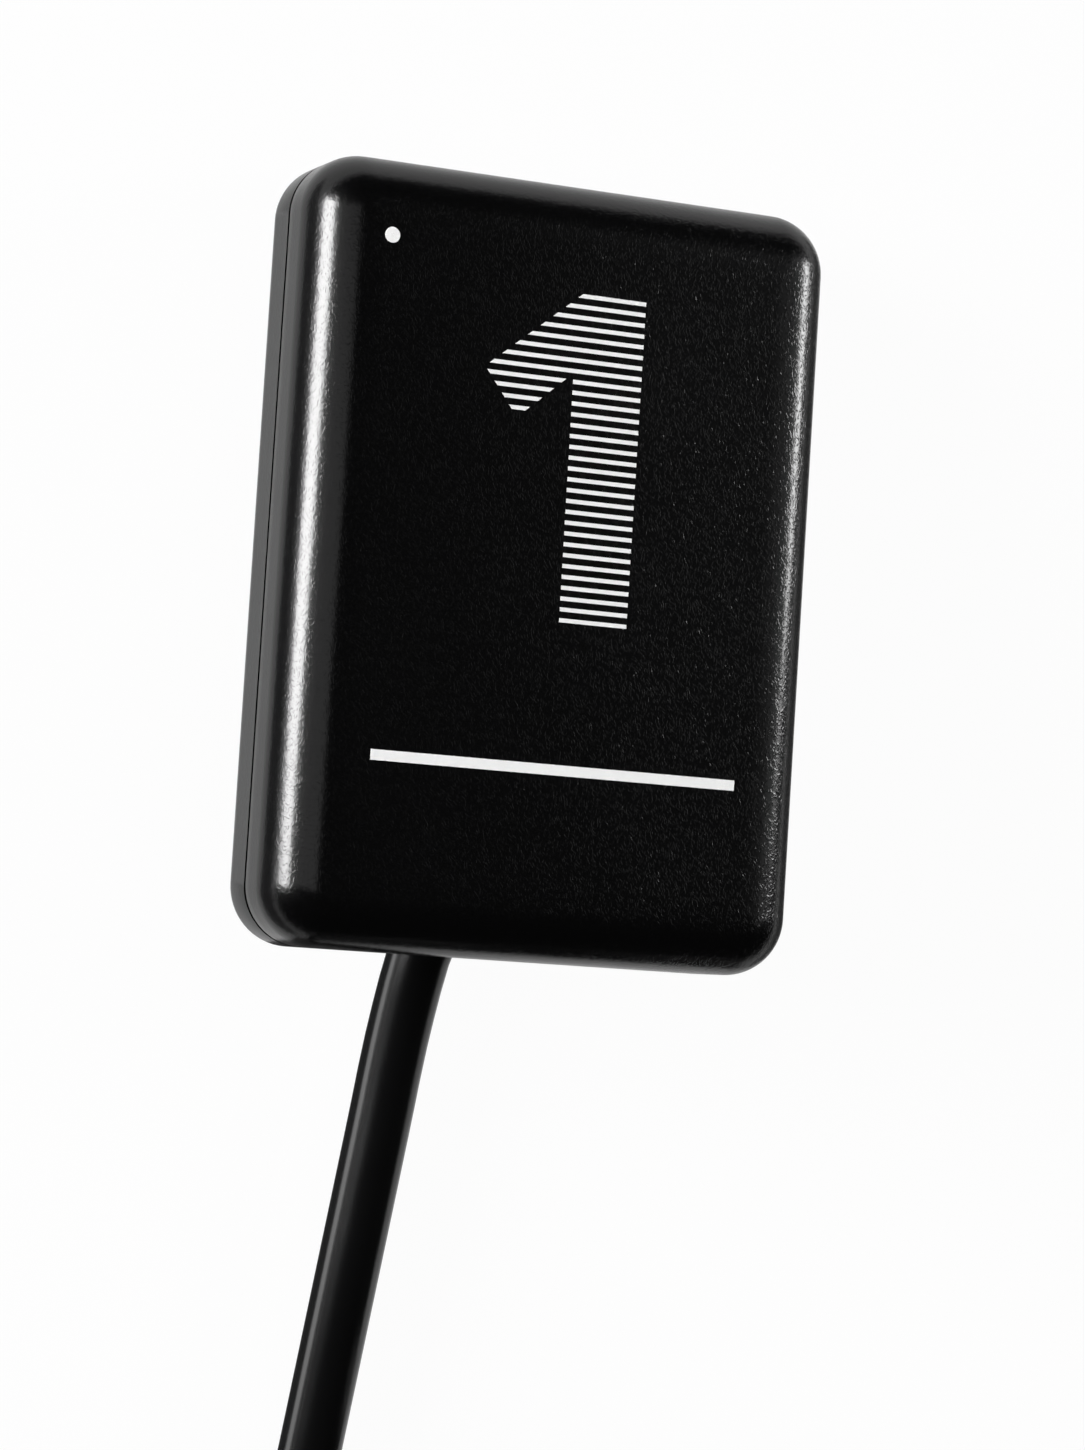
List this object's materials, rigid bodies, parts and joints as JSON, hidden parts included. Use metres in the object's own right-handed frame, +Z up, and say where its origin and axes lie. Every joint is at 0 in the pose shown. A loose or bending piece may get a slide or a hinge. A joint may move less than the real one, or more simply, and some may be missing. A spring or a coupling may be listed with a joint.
{
  "type": "intraoral x-ray sensor",
  "caption": "Flat black dental x-ray sensor head with rounded edges, two bonded shells, a cable hump on its back, and a coiled cable ending in a USB plug.",
  "frame": {"origin": "centre of the sensor head's footprint, on the table that it lies on, measured without the cable, coil, strap and plug", "axes": "+X to the right of the face, +Y towards the head's upper end, away from the cable, +Z up from the table"},
  "size_m": [0.0542, 0.1211, 0.0211],
  "materials": {
    "black_housing": "satin black moulded plastic with a very fine leather-like grain",
    "cable_jacket": "smooth satin black polyurethane",
    "relief_rubber": "soft matt black elastomer",
    "board": "green solder mask",
    "silicon": "polished grey silicon",
    "fibre_glass": "ground glass fibre block",
    "phosphor": "white scintillator coat",
    "chip_resin": "matt moulded resin",
    "socket_white": "off-white nylon",
    "crystal_can": "stamped can",
    "capacitor": "ceramic with tinned ends",
    "grey_foam": "closed-cell foam",
    "strap": "woven nylon strap",
    "plug_steel": "nickel-plated folded steel",
    "carrier_white": "white insulator",
    "contact_gold": "gold-plated contact",
    "wire_red": "red insulation",
    "wire_white": "white insulation",
    "wire_green": "green insulation",
    "wire_black": "black insulation"
  },
  "bodies": {
    "root": {"front_shell": "black_housing", "rear_shell": "black_housing", "scintillator_plate": "phosphor", "fibre_optic_plate": "fibre_glass", "imager_chip": "silicon", "carrier_board": "board", "controller_chip": "chip_resin", "converter_chip": "chip_resin", "regulator_chip": "chip_resin", "clock_crystal": "crystal_can", "wire_socket": "socket_white", "upper_cushion": "grey_foam", "lower_cushion": "grey_foam", "strain_relief": "relief_rubber", "wire_red": "wire_red", "wire_white": "wire_white", "wire_green": "wire_green", "wire_black": "wire_black", "cord_tube": "cable_jacket", "cord_coil": "cable_jacket", "cord_tail": "cable_jacket", "cord_tie": "strap", "plug_body": "black_housing", "plug_boot": "relief_rubber", "plug_shell": "plug_steel", "plug_carrier": "carrier_white", "capacitor_1": "capacitor", "capacitor_2": "capacitor", "capacitor_3": "capacitor", "capacitor_4": "capacitor", "capacitor_5": "capacitor", "capacitor_6": "capacitor", "plug_contact_1": "contact_gold", "plug_contact_2": "contact_gold", "plug_contact_3": "contact_gold", "plug_contact_4": "contact_gold"}
  },
  "joints": []
}
